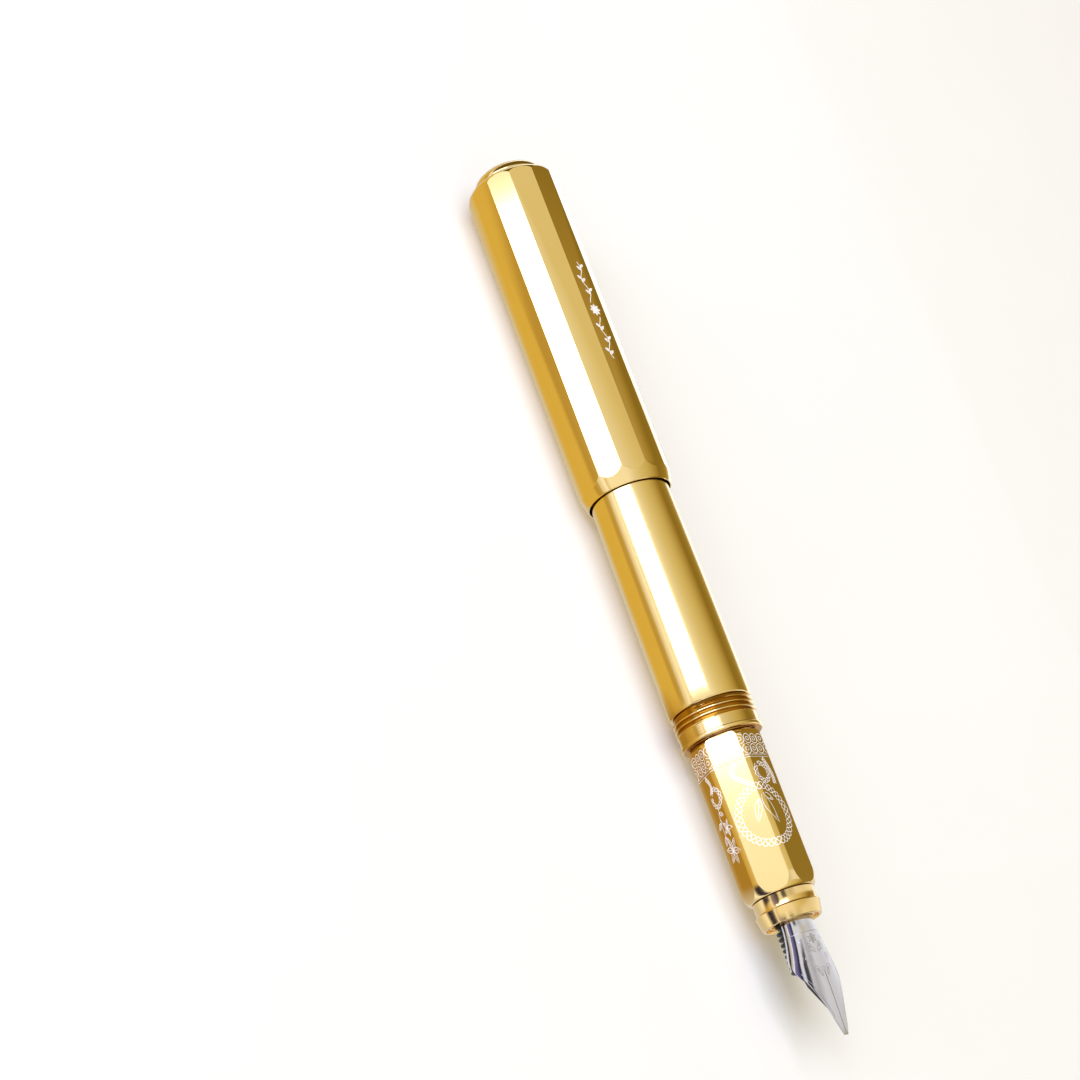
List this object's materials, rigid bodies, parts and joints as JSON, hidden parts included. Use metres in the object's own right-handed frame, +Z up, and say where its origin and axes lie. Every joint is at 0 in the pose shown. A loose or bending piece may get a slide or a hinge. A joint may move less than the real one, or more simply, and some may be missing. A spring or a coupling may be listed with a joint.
{
  "type": "fountain pen",
  "caption": "Faceted metal fountain pen, cap posted on the barrel, with hex grip, steel nib and twist converter.",
  "frame": {"origin": "centre of the posted pen's length and width, on the surface that the cap's lowest facet rests on", "axes": "+X along the pen towards the nib, +Z up from the surface the pen lies on, +Y across"},
  "size_m": [0.1456, 0.0142, 0.0142],
  "materials": {
    "gold_cap": "polished gold-anodised aluminium",
    "gold_barrel": "polished gold-anodised aluminium",
    "gold_grip": "polished gold-anodised aluminium with a fine white printed ornament",
    "gold_trim": "polished gold-anodised aluminium, turned rings",
    "steel": "polished stainless steel",
    "black_plastic": "moulded black plastic",
    "clear_plastic": "clear moulded plastic tube",
    "seal_rubber": "moulded black rubber"
  },
  "bodies": {
    "barrel": {"barrel": "gold_barrel", "barrel_tail": "gold_barrel"},
    "cap": {"cap_shell": "gold_cap", "cap_finial": "gold_cap", "cap_liner": "black_plastic", "finial_nut": "steel"},
    "seal": {"section_o_ring": "seal_rubber"},
    "housing": {"nib_housing": "black_plastic", "nib_collar": "gold_trim"},
    "section": {"grip_section": "gold_grip", "nose_ring": "gold_trim", "cap_thread_collar": "gold_trim"},
    "nib_unit": {"nib": "steel", "feed": "black_plastic"},
    "converter": {"converter_tube": "clear_plastic", "converter_sleeve": "black_plastic", "converter_collar": "steel"},
    "knob": {"converter_knob": "black_plastic"},
    "piston": {"piston_rod": "black_plastic", "piston_seal": "seal_rubber"}
  },
  "joints": [
    {"name": "cap_pull_off", "type": "slide", "parent": "barrel", "child": "cap", "axis": [-1, 0, 0], "range_m": [0, 0.045]},
    {"name": "section_thread_travel", "type": "slide", "parent": "barrel", "child": "seal", "axis": [1, 0, 0], "range_m": [0, 0.004]},
    {"name": "section_draw_off", "type": "slide", "parent": "seal", "child": "housing", "axis": [1, 0, 0], "range_m": [0, 0.066]},
    {"name": "section_unscrew", "type": "hinge", "parent": "housing", "child": "section", "pos_m": [0.02475, 0, 0.00708], "axis": [1, 0, 0], "range_deg": [0, 1800]},
    {"name": "nib_pull_out", "type": "slide", "parent": "section", "child": "nib_unit", "axis": [1, 0, 0], "range_m": [0, 0.02]},
    {"name": "converter_pull_off", "type": "slide", "parent": "section", "child": "converter", "axis": [-1, 0, 0], "range_m": [0, 0.0075]},
    {"name": "knob_turn", "type": "hinge", "parent": "converter", "child": "knob", "pos_m": [-0.02425, 0, 0.00708], "axis": [-1, 0, 0], "range_deg": [0, 2025]},
    {"name": "piston_travel", "type": "slide", "parent": "converter", "child": "piston", "axis": [-1, 0, 0], "range_m": [0, 0.018]}
  ],
  "couplings": [
    {"joint": "section_thread_travel", "follows": "section_unscrew", "m_per_rad": 0.00012732},
    {"joint": "knob_turn", "follows": "piston_travel", "rad_per_m": 1963.5}
  ]
}
